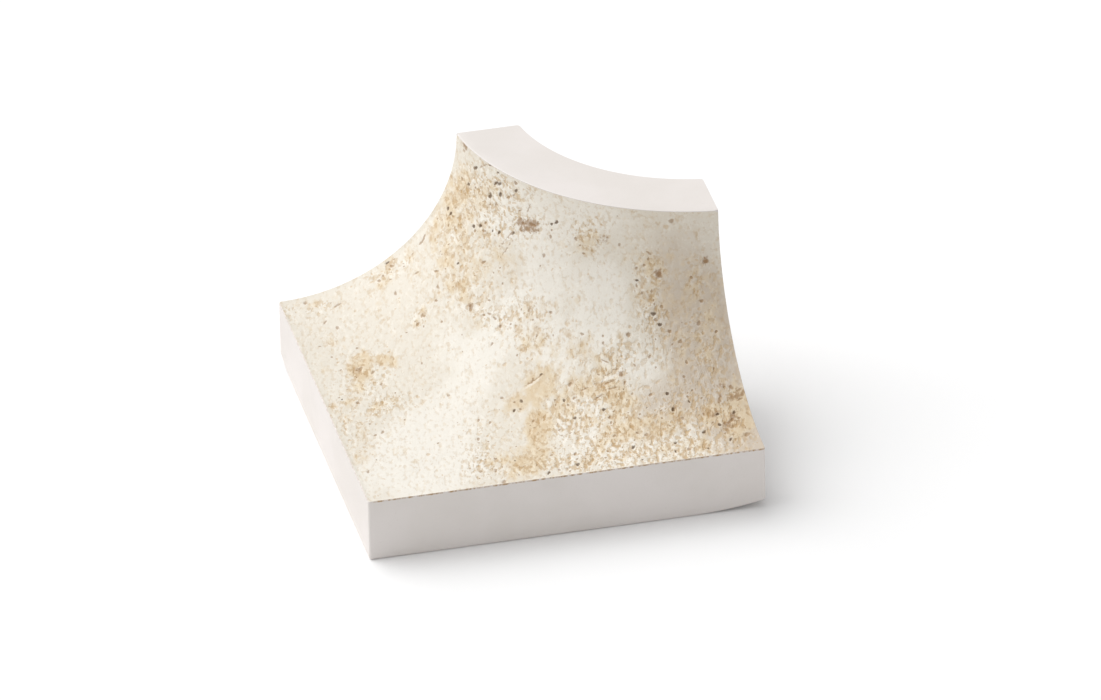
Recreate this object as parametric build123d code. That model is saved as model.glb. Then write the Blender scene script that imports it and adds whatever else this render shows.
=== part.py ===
"""Outside corner cove tile: one fired porcelain piece for the foot of a rounded outside wall corner.

A square sole lies on the floor with its free corner pointing away from the wall. Its glazed upper face
sweeps up through a concave cove into a short upright leg, and the leg turns round the wall corner in
one arc. The back is hollowed to the same arc, so that the piece wraps the corner of the building.
"""

import os
from math import sqrt

from build123d import *

# Driving dimensions, in millimetres.
side = 60.0  # each straight edge of the square sole
sole_thickness = 10.0  # from the floor to the flat part of the glazed face
cove_depth = 27.5  # how far the cove reaches in from the toe edge
cove_rise = 25.0  # how far the cove climbs above the sole
leg_thickness = 9.5  # upright leg, measured across its flat top
wall_face_radius = 37.0  # plan radius of the glazed face where it stands upright
heel_radius = 9.0  # rounding where the back meets the underside
arris_radius = 0.35  # softening of the upright arrises of the sole
relief_length = 11.0  # length over which the underside lifts off the floor at each butting end
relief_rise = 1.15  # how high it has lifted at the end itself
key_pitch = 9.5  # spacing of the keying pockets in the underside
key_rib = 3.0  # plain rib between neighbouring pockets
key_depth = 0.7  # depth of each pocket
key_margin = 4.0  # least plain width between a pocket and the edge of the flat underside

# Sizes that follow from the ones above.
height = sole_thickness + cove_rise
back_radius = wall_face_radius - leg_thickness
toe_radius = wall_face_radius + cove_depth
sole_reach = toe_radius * sqrt(2) + side  # beyond the free corner, whatever the sizes
flat_side = side - relief_length  # the underside touches the floor from the toe to here

# The upright axis that the cove turns round; the free corner of the sole is the origin until the end.
turning_axis = Axis((toe_radius, toe_radius, 0), (0, 0, 1))


def wall_section():
    """Upright section on plan radius: heel, back, flat top, cove and sole."""
    heel_end = (back_radius + heel_radius, 0)
    back_foot = (back_radius, heel_radius)
    back_top = (back_radius, height)
    face_top = (wall_face_radius, height)
    toe = (toe_radius, sole_thickness)
    sole_end = (sole_reach, sole_thickness)
    sole_foot = (sole_reach, 0)
    return make_face(
        [
            JernArc(heel_end, (-1, 0), heel_radius, -90),
            Line(back_foot, back_top),
            Line(back_top, face_top),
            EllipticalCenterArc((toe_radius, height), cove_depth, cove_rise, 180, arc_size=90),
            Line(toe, sole_end),
            Line(sole_end, sole_foot),
            Line(sole_foot, heel_end),
        ]
    )


def corner_sweep():
    """The section turned a quarter round the wall corner, with straight legs where the side is longer."""
    start = Plane(origin=turning_axis.position, x_dir=(-1, 0, 0), z_dir=(0, 1, 0))
    section = start * wall_section()
    sweep_body = revolve(section, turning_axis, 90)
    straight = side - toe_radius
    if straight > 0:
        along_y = extrude(section, straight, dir=(0, 1, 0))
        mirror_plane = Plane(origin=(0, 0, 0), x_dir=(1, 1, 0), z_dir=(1, -1, 0))
        sweep_body += [along_y, mirror(along_y, mirror_plane)]
    return sweep_body


def square_blank():
    """Square block that the sweep is trimmed to, with its upright arrises softened."""
    outline = Pos(side / 2, side / 2) * RectangleRounded(side, side, arris_radius)
    return extrude(outline, height)


def end_relief():
    """Sliver between the floor and the lifted underside at the butting end that faces +X."""
    relief_radius = (relief_length**2 + relief_rise**2) / (2 * relief_rise)
    lift = JernArc((flat_side, 0), (1, 0), relief_radius, 90)
    under = make_face([lift, Line(lift @ 1, ((lift @ 1).X, 0)), Line(((lift @ 1).X, 0), (flat_side, 0))])
    return extrude(Plane.XZ * under, -side)


def key_pockets():
    """Shallow square pockets that key the underside to the adhesive, clear of the heel and the edges."""
    pocket = key_pitch - key_rib
    room = flat_side - 2 * key_margin
    count = int((room + key_rib) // key_pitch)
    centre = key_margin + room / 2
    grid = Pos(centre, centre) * GridLocations(key_pitch, key_pitch, count, count)
    clear_radius = back_radius + heel_radius + key_margin + pocket / sqrt(2)
    corner = Vector(toe_radius, toe_radius)
    return [
        spot * Pos(0, 0, key_depth / 2) * Box(pocket, pocket, key_depth)
        for spot in grid
        if (spot.position - corner).length > clear_radius
    ]


relief = end_relief()
other_relief = mirror(relief, Plane(origin=(0, 0, 0), x_dir=(1, 1, 0), z_dir=(1, -1, 0)))
tile = corner_sweep() & square_blank()
tile -= [relief, other_relief]
tile -= key_pockets()

# The origin goes to the middle of the square, on the floor.
tile = Pos(-side / 2, -side / 2, 0) * tile
tile.label = "corner_tile"

os.makedirs("parts", exist_ok=True)
export_step(tile, "parts/corner_tile.step")
print(f"corner_tile: {side:.0f} x {side:.0f} x {height:.0f} mm, volume {tile.volume:.0f} mm3")
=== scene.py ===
"""Outside corner cove tile: fired porcelain trim with a matt travertine face, on a pale studio floor.

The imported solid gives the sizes. The dressed tile is one closed mesh of the same form: a glazed face with
its open pits pressed into it, a flat top band, square toe walls, two butting ends, a hollow back and an
underside with a rounded heel, lifted ends and shallow keying pockets.
"""

from __future__ import annotations

import logging
import math
from dataclasses import dataclass, field
from enum import Enum, IntEnum
from typing import Any

import bpy
import numpy as np
from mathutils import Matrix, Vector
from mathutils.geometry import delaunay_2d_cdt


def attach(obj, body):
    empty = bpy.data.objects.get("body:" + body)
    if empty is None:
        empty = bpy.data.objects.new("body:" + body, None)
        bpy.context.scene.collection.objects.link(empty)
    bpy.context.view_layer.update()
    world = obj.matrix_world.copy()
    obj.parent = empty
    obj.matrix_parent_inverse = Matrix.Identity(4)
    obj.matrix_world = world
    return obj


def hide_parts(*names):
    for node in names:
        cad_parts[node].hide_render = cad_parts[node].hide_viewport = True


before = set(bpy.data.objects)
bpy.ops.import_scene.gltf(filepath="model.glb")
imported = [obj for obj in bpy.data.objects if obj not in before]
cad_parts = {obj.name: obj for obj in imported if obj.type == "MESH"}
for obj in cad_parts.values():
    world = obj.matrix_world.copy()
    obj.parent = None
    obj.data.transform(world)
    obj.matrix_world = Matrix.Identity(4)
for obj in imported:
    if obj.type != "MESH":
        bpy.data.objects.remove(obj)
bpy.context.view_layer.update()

logging.basicConfig(level=logging.INFO, format="%(message)s")
log = logging.getLogger("corner_tile")

MM = 0.001  # the pattern and the sizes are in millimetres, Blender's objects in metres
DEEP = 9.0  # mark of every vertex that lies well below the glaze's edge
FULL_TURN = 6.28  # range of the seeded phases
Array = np.ndarray
Paint = tuple[int, int, int]  # display red, green and blue, 0 to 255


# small maths


def smooth(low: float, high: float, value: Array) -> Array:
    """Ease from 0 at low to 1 at high.

    Args:
        low: Value that gives 0.
        high: Value that gives 1.
        value: Numbers to ease.

    Returns:
        The eased numbers, between 0 and 1.
    """
    t = np.clip((value - low) / (high - low), 0.0, 1.0)
    return t * t * (3.0 - 2.0 * t)


def linear(paint: Paint) -> tuple[float, ...]:
    """Turn a display colour into the linear colour that shaders take.

    Args:
        paint: The display colour.

    Returns:
        Linear red, green, blue and a full alpha.
    """
    parts = [c / 255.0 for c in paint]
    return (*(c / 12.92 if c <= 0.04045 else ((c + 0.055) / 1.055) ** 2.4 for c in parts), 1.0)


def arc(centre: tuple[float, float], radius: float, turns: Array) -> Array:
    """Draw points on an arc.

    Args:
        centre: Middle of the arc.
        radius: Radius, negative to measure the turns from the other side.
        turns: Direction of each point, in radians.

    Returns:
        Plane points.
    """
    return np.array(centre) + radius * np.column_stack([np.cos(turns), np.sin(turns)])


def ring_edges(start: int, count: int) -> list[tuple[int, int]]:
    """Edges of a closed ring whose vertices are numbered on from start."""
    return [(start + i, start + (i + 1) % count) for i in range(count)]


def within(points: Array, ring: Array) -> Array:
    """Tell which points lie within a closed ring.

    Args:
        points: Plane points.
        ring: Corners of the ring in order.

    Returns:
        True where the point is inside.
    """
    ahead = np.roll(ring, -1, axis=0)
    x, y = points[:, 0:1], points[:, 1:2]
    crossing = (ring[:, 1] > y) != (ahead[:, 1] > y)
    rise = np.where(ahead[:, 1] == ring[:, 1], 1.0, ahead[:, 1] - ring[:, 1])
    cut = ring[:, 0] + (y - ring[:, 1]) * (ahead[:, 0] - ring[:, 0]) / rise
    return (crossing & (x < cut)).sum(axis=1) % 2 == 1


def triangulate(points: Array, edges: list[tuple[int, int]], ring: int) -> tuple[Array, Array, Array]:
    """Fill a closed ring with triangles through given points.

    Args:
        points: Plane points, those of the ring first and in order.
        edges: Edges that must be kept.
        ring: How many points the ring has.

    Returns:
        The points used, the triangles anticlockwise, and for each used point its number among those given.
    """
    verts, _, faces, origin, _, _ = delaunay_2d_cdt([Vector(p) for p in points], edges, [], 0, 1e-6, True)
    used = np.array([tuple(v) for v in verts])
    order = np.array([ids[0] if ids else -1 for ids in origin])
    made = np.array([f for f in faces if len(f) == 3])
    on_ring = np.flatnonzero(((order[made] < ring) & (order[made] >= 0)).all(axis=1))
    outside = on_ring[~within(used[made[on_ring]].mean(axis=1), points[:ring])]
    made = np.delete(made, outside, axis=0)
    first, second = used[made[:, 1]] - used[made[:, 0]], used[made[:, 2]] - used[made[:, 0]]
    clockwise = first[:, 0] * second[:, 1] < first[:, 1] * second[:, 0]
    made[clockwise] = made[clockwise][:, ::-1]
    return used, made, order


@dataclass(frozen=True)
class Swell:
    """Smooth seeded unevenness over the flat pattern, as a pressed and fired face has."""

    pitch: float  # millimetres from one seeded height to the next
    seed: int
    cells: int = 96  # seeded heights each way
    start: float = 8.0  # cells of the lattice before the free corner

    def at(self, points: Array) -> Array:
        """Unevenness at points of the pattern.

        Args:
            points: Pattern points.

        Returns:
            Values round 0, between -1 and 1.
        """
        lattice = np.random.default_rng(self.seed).uniform(-1.0, 1.0, (self.cells, self.cells))
        place = points / self.pitch + self.start
        cell = np.floor(place).astype(int)
        fx, fy = smooth(0.0, 1.0, place - cell).T
        left, low = cell.T % self.cells
        right, high = (cell.T + 1) % self.cells
        below = lattice[low, left] * (1 - fx) + lattice[low, right] * fx
        above = lattice[high, left] * (1 - fx) + lattice[high, right] * fx
        return below * (1 - fy) + above * fy


# sizes and pattern


@dataclass(frozen=True)
class TileSizes:
    """Sizes of the tile in millimetres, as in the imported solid."""

    side: float = 60.0
    sole: float = 10.0
    cove_depth: float = 27.5
    cove_rise: float = 25.0
    leg: float = 9.5
    wall_radius: float = 37.0
    heel: float = 9.0
    arris: float = 0.35
    tip: float = 0.55
    relief_length: float = 11.0
    relief_rise: float = 1.15
    key_pitch: float = 9.5
    key_rib: float = 3.0
    key_depth: float = 0.7
    key_margin: float = 4.0

    @property
    def height(self) -> float:
        """Full height of the tile."""
        return self.sole + self.cove_rise

    @property
    def back(self) -> float:
        """Plan radius of the hollow back."""
        return self.wall_radius - self.leg

    @property
    def toe(self) -> float:
        """Plan radius at which the cove has run out into the flat sole."""
        return self.wall_radius + self.cove_depth

    @property
    def gap(self) -> float:
        """Distance from the plane of a butting end to the axis that the cove turns round."""
        return self.toe - self.side

    @property
    def axis(self) -> tuple[float, float]:
        """Plan point of the axis that the cove turns round, from the free corner."""
        return self.toe, self.toe

    def from_axis(self, points: Array) -> Array:
        """Distance of plan or pattern points from the axis."""
        return np.hypot(*(self.toe - points).T)


@dataclass
class FlatPattern:
    """The glazed face and the top band, unrolled along their section round the wall corner's axis."""

    sizes: TileSizes
    steps: int = 4001

    def __post_init__(self) -> None:
        """Tabulate the arc length of the cove's section."""
        self.turn = np.linspace(0.0, math.pi / 2, self.steps)
        self.radius, rise = self._cove(self.turn)
        self.run = np.concatenate([[0.0], np.cumsum(np.hypot(np.diff(self.radius), np.diff(rise)))])
        self.top = self.sizes.toe - self.run[-1]

    def _cove(self, turn: Array) -> tuple[Array, Array]:
        """Plan radius and height of the cove where its section has turned that far up from the toe."""
        s = self.sizes
        return s.toe - s.cove_depth * np.sin(turn), s.height - s.cove_rise * np.cos(turn)

    def section(self, reach: Array) -> tuple[Array, Array, Array, Array]:
        """Section of the upper surface at a distance from the axis in the pattern.

        Args:
            reach: Distance from the axis, measured along the pattern.

        Returns:
            Plan radius, height, and the outward normal's radial and upright parts.
        """
        s = self.sizes
        turn = np.interp(s.toe - reach, self.run, self.turn)
        radius, height = self._cove(turn)
        out, up = s.cove_rise * np.sin(turn), s.cove_depth * np.cos(turn)
        size = np.hypot(out, up)
        sole, band = reach >= s.toe, reach < self.top
        radius = np.where(sole, reach, np.where(band, s.wall_radius - (self.top - reach), radius))
        height = np.where(sole, s.sole, np.where(band, s.height, height))
        return radius, height, np.where(sole | band, 0.0, out / size), np.where(sole | band, 1.0, up / size)

    def reach(self, radius: Array) -> Array:
        """Distance from the axis in the pattern for a plan radius.

        Args:
            radius: Plan radius.

        Returns:
            The distance along the pattern.
        """
        s = self.sizes
        cove = s.toe - np.interp(s.toe - radius, s.toe - self.radius, self.run)
        band = self.top - (s.wall_radius - radius)
        return np.where(radius >= s.toe, radius, np.where(radius < s.wall_radius, band, cove))

    def unroll(self, plan: Array) -> Array:
        """Pattern points for plan points.

        Args:
            plan: Points on the floor plan, from the free corner.

        Returns:
            The same points on the pattern.
        """
        radius = self.sizes.from_axis(plan)
        return self.sizes.toe - (self.sizes.toe - plan) * (self.reach(radius) / radius)[:, None]

    def place(self, pattern: Array, sink: Array | float = 0.0) -> Array:
        """Space points for pattern points.

        Args:
            pattern: Points on the pattern.
            sink: How far each lies under the surface.

        Returns:
            Points in space, in millimetres from the free corner.
        """
        toe, reach = self.sizes.toe, self.sizes.from_axis(pattern)
        radius, height, out, up = self.section(reach)
        plan = toe - (toe - pattern) / reach[:, None] * (radius - out * sink)[:, None]
        return np.column_stack([plan, height - up * sink])


# marks of the face


class Tone(Enum):
    """Colour of the mineral that lines a pit, as the mark that the glaze reads."""

    OCHRE = 0.0
    BROWN = 0.5
    DARK = 1.0


@dataclass(frozen=True)
class Oval:
    """A slanting oval on the flat pattern, by its half length, half width and angle in degrees."""

    x: float
    y: float
    long: float
    wide: float
    angle: float

    def offsets(self, points: Array) -> tuple[Array, Array]:
        """Offsets of points from the middle, along and across the oval.

        Args:
            points: Pattern points.

        Returns:
            Shares of the half length and of the half width.
        """
        turn = math.radians(self.angle)
        right, up = points[:, 0] - self.x, points[:, 1] - self.y
        along = (right * math.cos(turn) + up * math.sin(turn)) / self.long
        across = (up * math.cos(turn) - right * math.sin(turn)) / self.wide
        return along, across


@dataclass(frozen=True)
class Patch(Oval):
    """A soft oval zone of the face."""

    SOFT_EDGE = (0.3, 1.35)  # shares of the oval between which the zone dies out

    level: float

    def weight(self, points: Array) -> Array:
        """Strength of the zone at pattern points, the level inside and 0 outside."""
        return self.level * (1.0 - smooth(*self.SOFT_EDGE, np.hypot(*self.offsets(points))))


@dataclass(frozen=True)
class Pit(Oval):
    """One open pit of the travertine face."""

    DEPTHS = {Tone.OCHRE: 0.18, Tone.BROWN: 0.3, Tone.DARK: 0.5}  # shares of the half width
    WIDEST = 0.42  # half width past which a pit gets no deeper
    RINGS = ((0.5, 7), (0.82, 10), (1.06, 12), (1.34, 12))  # share of the edge, and vertices on that ring
    REACH = 1.5  # share of the edge within which only the pit's own rings have vertices
    BOWL = (0.35, 1.08)  # shares of the edge between which the pit's floor rises
    LINING = (0.6, 1.1)  # the same for its lining's colour
    LIP = (0.9, 1.1, 1.5)  # foot, crest and foot of its lip

    tone: Tone
    phase: float

    @property
    def depth(self) -> float:
        """Depth that goes with the pit's width."""
        return self.DEPTHS[self.tone] * min(self.wide, self.WIDEST)

    def outline(self, theta: Array) -> Array:
        """Factor on the oval's radius in a direction, by which the pit's edge wavers."""
        return 1.0 + 0.13 * np.sin(2 * theta + self.phase) + 0.10 * np.sin(3 * theta + 2.3 * self.phase)

    def share(self, points: Array) -> Array:
        """Distance of pattern points from the pit's middle, 0 there and 1 at its edge."""
        along, across = self.offsets(points)
        return np.hypot(along, across) / self.outline(np.arctan2(across, along))

    def near(self, points: Array, lengths: float) -> Array:
        """Numbers of the points in a square of that many half lengths about the pit's middle."""
        return np.flatnonzero((np.abs(points - (self.x, self.y)) < lengths * self.long).all(axis=1))

    def rings(self) -> Array:
        """Vertices that draw the pit: its middle and a few rings.

        Returns:
            Pattern points.
        """
        turn = math.radians(self.angle)
        middle = np.array([[self.x, self.y]])
        rows = [middle]
        for share, count in self.RINGS:
            theta = np.arange(count) * (2 * math.pi / count) + share
            size = share * self.outline(theta)
            along, across = self.long * size * np.cos(theta), self.wide * size * np.sin(theta)
            right = along * math.cos(turn) - across * math.sin(turn)
            up = along * math.sin(turn) + across * math.cos(turn)
            rows.append(middle + np.column_stack([right, up]))
        return np.vstack(rows)


@dataclass
class Travertine:
    """Where the face is warm or pale, where it is coarse, where a taupe tone partly paints shade, and where
    its pits lie.
    """

    # soft zones by the mark that they give: x, y, half length, half width, angle, level
    ZONES = {
        "ochre": (
            (34.5, 55.8, 6.5, 5, 160, 0.6), (29.5, 58, 4, 3, 165, 0.4), (26, 53.5, 4.5, 2, 80, 0.45),
            (22.8, 56.5, 3, 3, 80, 0.2), (32, 48.5, 6.5, 4.5, 150, 0.45), (24.5, 45.3, 5.5, 3, 150, 0.32),
            (28, 43.5, 6, 4.2, 120, 0.16), (35.5, 42, 5, 2.5, 100, 0.3), (41.5, 51.5, 5.5, 4, 138, 0.28),
            (47.3, 41.2, 3.4, 2.2, 20, 0.5), (51, 34, 5.5, 2.6, 65, 0.4), (55.5, 26, 11, 5.5, 80, 0.35),
            (7.8, 38.3, 4.2, 2.3, 66, 0.9), (11.5, 38.4, 2.4, 1.5, 110, 0.9), (6.6, 33.4, 4.5, 1.8, 62, 0.35),
            (2, 39, 3, 1.8, 80, 0.35), (2.6, 27.5, 3.4, 2.2, 60, 0.45), (8, 27.2, 3, 1.6, 30, 0.4),
            (12.6, 26.2, 2.4, 1.2, 150, 0.35), (3, 15, 10, 2.6, 75, 0.3), (33, 31.5, 7, 3.4, 95, 0.4),
            (38.6, 27, 4.5, 2.6, 160, 0.3), (36, 29.5, 9.5, 7.5, 100, 0.28), (41, 37.5, 7.5, 6, 60, 0.2),
            (30, 22.3, 5.6, 2.6, 30, 1), (32.5, 19, 5, 3, 30, 0.5), (28.9, 14.8, 4, 2.2, 78, 0.8),
            (28, 9, 7.4, 3, 70, 0.85), (23.8, 2.6, 4.6, 2.8, 60, 0.6), (39.6, 19.4, 4.4, 2.6, 150, 0.75),
            (41.5, 16.8, 2.8, 1.8, 100, 0.6), (36.5, 12.5, 6.5, 4.5, 130, 0.5), (46, 9.6, 7.4, 2.8, 8, 0.66),
            (42.6, 12.8, 4, 3, 60, 0.55), (42, 22.4, 3.4, 2.6, 60, 0.4), (22.6, 7.4, 3.6, 3, 66, 0.5),
            (37, 5, 8, 4, 10, 0.4), (54.3, 9.2, 2.8, 1.8, 80, 0.9), (58.2, 8.8, 6.5, 2.4, 76, 1),
            (51, 4, 7.5, 3.5, 1, 0.3), (18.6, 44.6, 2.4, 1, 50, 0.5), (16.6, 57, 4.2, 2, 60, 0.35),
            (20.6, 53.4, 2.6, 1.2, 160, 0.3), (4.5, 58, 3, 1.6, 20, 0.35),
        ),
        "pale": (
            (10, 9, 13, 10, 60, 0.9), (17, 22, 9, 7, 60, 0.7), (24, 31, 7, 4.5, 75, 0.7),
            (39.5, 40, 7, 4.5, 57, 0.95), (20.5, 37, 5, 3, 60, 0.35), (44, 32, 8, 4.5, 71, 0.85),
            (46.5, 20, 4, 2.5, 120, 0.7), (39.5, 49.8, 8, 6, 145, 1), (47.5, 44.5, 5.5, 4, 155, 0.9),
            (31.5, 34.5, 8, 7, 90, 0.6), (36.5, 27, 7, 5.5, 90, 0.5), (34, 10, 8, 5, 60, 0.5),
            (38, 4, 6, 4, 60, 0.4),
        ),
        "stain": (
            (40.8, 46.4, 2.3, 1.3, 139, 0.95), (41, 59.6, 1.3, 0.6, 170, 0.8), (49.5, 12.6, 3, 1.2, 60, 0.25),
            (58.8, 12.4, 2, 0.7, 20, 0.7), (57.4, 14.3, 2.2, 0.5, 160, 0.7), (56, 12.4, 1.4, 0.6, 60, 0.6),
            (55.6, 6.6, 1.6, 0.7, 60, 0.5), (57.2, 8, 2.4, 1.1, 60, 0.6), (54.3, 9.3, 1.7, 1, 60, 0.6),
            (58, 4.4, 1.4, 0.7, 20, 0.5), (7.2, 37.6, 1.6, 0.8, 60, 0.4), (47.8, 40.2, 2.2, 0.8, 20, 0.5),
            (52.8, 33.4, 0.8, 0.7, 70, 1.2), (58.9, 33.8, 0.8, 0.6, 70, 1), (26.3, 41.4, 0.9, 0.6, 60, 0.7),
            (43.3, 20.6, 0.9, 0.5, 70, 0.6), (31, 24.4, 1.6, 0.35, 22, 0.6),
        ),
        "glint": (
            (41.4, 20.4, 1.9, 0.4, 8, 1), (43.1, 21, 0.5, 0.4, 60, 0.6), (30.4, 23.7, 2, 0.35, 22, 0.6),
            (24.3, 42.2, 1.9, 0.7, 170, 0.35), (27.2, 40, 1.6, 0.5, 120, 0.35),
            (44.2, 22.4, 0.8, 0.5, 100, 0.6),
        ),
        # taupe zones on the right of the upright wall: partly the print's own darker tone, partly painted
        # shade where the wall turns away from the key light
        "taupe_and_painted_shade": (
            (55, 30, 11, 6, 78, 0.55), (57, 22, 10, 6.5, 80, 0.6), (60, 9, 14, 10, 85, 0.95),
            (47.5, 12.5, 7, 5, 60, 0.6),
        ),
        "coarse": (
            (40.5, 53, 6.5, 4.2, 132, 0.66), (38.5, 48, 7, 2.6, 147, 0.62), (32, 53, 8, 7, 100, 0.5),
            (25, 45.5, 6, 4, 140, 0.3), (31, 40, 8, 5, 120, 0.22), (47, 41.8, 4, 2.8, 30, 0.55),
            (51.3, 33, 5, 2.6, 69, 0.6), (50.4, 27.6, 2.6, 2.2, 120, 0.4), (57.5, 30, 6, 2.4, 80, 0.45),
            (8.8, 36.5, 6, 4.6, 81, 0.4), (4.5, 25.4, 11, 5.5, 73, 0.32), (10.5, 27, 5, 3, 20, 0.35),
            (18.4, 44.5, 2.8, 1.4, 50, 0.6), (26, 41.2, 3, 1.8, 139, 0.3), (28.6, 37.4, 3.2, 1.6, 125, 0.35),
            (33.4, 31.7, 8.5, 5.5, 120, 0.3), (20, 12, 11, 2.8, 77, 0.4), (36.5, 12, 11.5, 9.5, 57, 0.68),
            (52.5, 8.9, 9, 8, 61, 0.95), (42.4, 22.2, 5.6, 3.4, 60, 0.55), (49.5, 24, 6, 4, 20, 0.5),
            (41.4, 2.8, 18.3, 3.2, 179, 0.85), (21.2, 5, 6.6, 4, 4, 0.4), (56.6, 20.8, 5.5, 4, 80, 0.6),
            (4.5, 56.5, 5, 2.7, 170, 0.4), (17, 57.3, 5, 3, 175, 0.5),
        ),
    }
    # the pits that the eye finds first, dark and brown lined: x, y, half length, half width, angle
    DARK_PITS = (
        (39.9, 56.8, 0.61, 0.32, 156), (43.1, 55.2, 0.59, 0.24, 172), (36.5, 56.7, 0.42, 0.26, 159),
        (41.1, 53.3, 0.61, 0.24, 178), (41.5, 52.9, 0.61, 0.22, 179), (43, 50.9, 0.48, 0.22, 11),
        (38.7, 52.9, 0.68, 0.33, 12), (40.3, 51.9, 0.52, 0.31, 12), (30.5, 57.9, 0.5, 0.31, 171),
        (30.5, 56.8, 0.47, 0.27, 155), (32.9, 51.9, 0.43, 0.33, 162), (33.9, 51.1, 0.4, 0.35, 170),
        (37.8, 46.9, 0.51, 0.24, 164), (36, 48.3, 0.34, 0.25, 171), (44.6, 44.9, 0.49, 0.22, 17),
        (43.8, 45, 0.33, 0.22, 16), (28.1, 21.1, 0.49, 0.28, 64), (26.6, 19.4, 0.44, 0.27, 73),
        (34.1, 18.8, 0.4, 0.3, 83), (32.2, 24.8, 0.37, 0.27, 19), (34.7, 14.7, 0.44, 0.3, 80),
        (39.2, 15, 0.41, 0.3, 81), (32.3, 2.9, 0.65, 0.33, 68), (27.6, 1.6, 0.64, 0.28, 62),
        (41.3, 5.3, 0.66, 0.28, 53), (50.8, 26.2, 0.4, 0.33, 52), (48.9, 15.1, 0.44, 0.31, 62),
        (49, 12, 0.47, 0.31, 64), (55.1, 9.5, 0.45, 0.29, 50), (57.6, 9.4, 0.49, 0.3, 68),
        (54.9, 7.3, 0.43, 0.3, 76), (52.3, 6.3, 0.51, 0.29, 58), (55.7, 3.7, 0.57, 0.26, 61),
        (47.6, 4.9, 0.56, 0.25, 59), (49.9, 33.4, 0.28, 0.22, 166), (50.4, 28, 0.46, 0.42, 60),
        (17.4, 59.3, 0.5, 0.3, 160),
    )
    BROWN_PITS = (
        (40, 41.8, 0.38, 0.31, 38), (9.5, 32.7, 0.51, 0.25, 67), (8.2, 43.3, 0.41, 0.24, 57),
        (18, 43.6, 0.5, 0.3, 40), (26.3, 41.3, 0.75, 0.45, 60), (17.9, 58, 0.55, 0.32, 120),
        (15.2, 56.6, 0.5, 0.3, 100), (20.9, 53.2, 0.6, 0.3, 175), (16.7, 52, 0.55, 0.32, 80),
        (24.6, 58.2, 0.5, 0.24, 20), (23.4, 57.8, 0.45, 0.24, 20), (23.9, 50.8, 0.6, 0.26, 140),
        (23, 48, 0.5, 0.28, 110), (28.9, 37.4, 0.5, 0.24, 100), (28.4, 38.6, 0.45, 0.22, 120),
        (29.2, 35.7, 0.4, 0.25, 80), (27.6, 38.9, 0.4, 0.2, 120), (19, 44.8, 0.6, 0.24, 60),
        (5.3, 52, 0.63, 0.29, 54), (6.7, 49.8, 0.65, 0.3, 80), (8.1, 55.5, 0.71, 0.36, 23),
        (3.7, 58.5, 0.56, 0.37, 75), (7.3, 37.7, 0.96, 0.42, 51), (9, 36.3, 0.63, 0.32, 52),
        (19.3, 44.5, 0.37, 0.25, 75), (21.9, 46, 0.34, 0.28, 135), (36, 58.2, 0.42, 0.34, 161),
        (44, 51.6, 0.47, 0.29, 28), (41.1, 50.9, 0.47, 0.22, 173), (32.7, 51.2, 0.33, 0.25, 170),
        (34, 50.1, 0.55, 0.24, 135), (40.3, 47, 0.5, 0.3, 140), (41.3, 46.2, 0.6, 0.35, 130),
        (24, 57.8, 0.89, 0.26, 23), (35.7, 21.4, 0.48, 0.35, 40), (43.3, 20.5, 0.68, 0.24, 91),
        (39.6, 13.2, 0.4, 0.26, 65), (28.7, 16.1, 0.47, 0.24, 43), (32.6, 5.8, 0.59, 0.27, 58),
        (39.3, 9, 0.43, 0.26, 62), (52.9, 33.3, 0.52, 0.44, 67), (59, 33.7, 0.38, 0.3, 81),
        (57.2, 28.1, 0.37, 0.29, 77), (56.7, 31.8, 0.3, 0.25, 76), (52.8, 36.7, 0.55, 0.17, 112),
        (52.4, 35.9, 0.38, 0.17, 72), (50.5, 35.1, 0.37, 0.21, 45), (51.6, 35.2, 0.3, 0.2, 29),
        (49.6, 32.7, 0.37, 0.19, 69), (51.2, 31.3, 0.37, 0.22, 63), (49.9, 31.4, 0.27, 0.26, 173),
        (51.8, 28.7, 0.41, 0.29, 138), (58.2, 23.2, 0.31, 0.28, 76), (50, 39, 0.31, 0.24, 53),
        (49.1, 2.8, 0.55, 0.37, 78), (58.3, 4.3, 0.77, 0.4, 62), (59, 11.6, 0.6, 0.24, 26),
        (46.5, 15.6, 0.44, 0.31, 62), (56.7, 7.8, 0.84, 0.34, 46), (21, 18.7, 0.54, 0.26, 76),
        (22.5, 17.6, 0.51, 0.26, 69), (19.8, 13.6, 0.58, 0.3, 77), (20.6, 0.7, 0.81, 0.4, 70),
        (6.6, 19.2, 0.67, 0.26, 66), (2, 8.7, 0.52, 0.25, 66), (18, 4.5, 0.55, 0.25, 69),
        (20.2, 4.3, 0.87, 0.22, 74),
    )
    # longer cracks: start, end, half width at the middle
    CRACKS = (
        ((29, 23.6), (32.4, 24.8), 0.15), ((40.3, 19.5), (42.6, 19.9), 0.2), ((40.2, 56.4), (43, 55.4), 0.13),
        ((42.9, 20.1), (43.4, 20.9), 0.2), ((42.3, 21.6), (43.3, 21.4), 0.16),
        ((40.6, 20.9), (42.2, 21.2), 0.12), ((41.9, 47.9), (43.4, 48.6), 0.14),
        ((34.6, 46.6), (38.4, 47.2), 0.12), ((33.6, 45.2), (37.4, 46.2), 0.11), ((38.2, 17.2), (40, 18), 0.2),
        ((40.4, 18.6), (42.4, 18.4), 0.2), ((57.6, 12.6), (60, 13.6), 0.22), ((36.8, 19.6), (38.2, 20), 0.18),
        ((41.2, 23.8), (42.2, 22.8), 0.16), ((43.2, 18.4), (43.6, 19.3), 0.18),
    )

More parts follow.
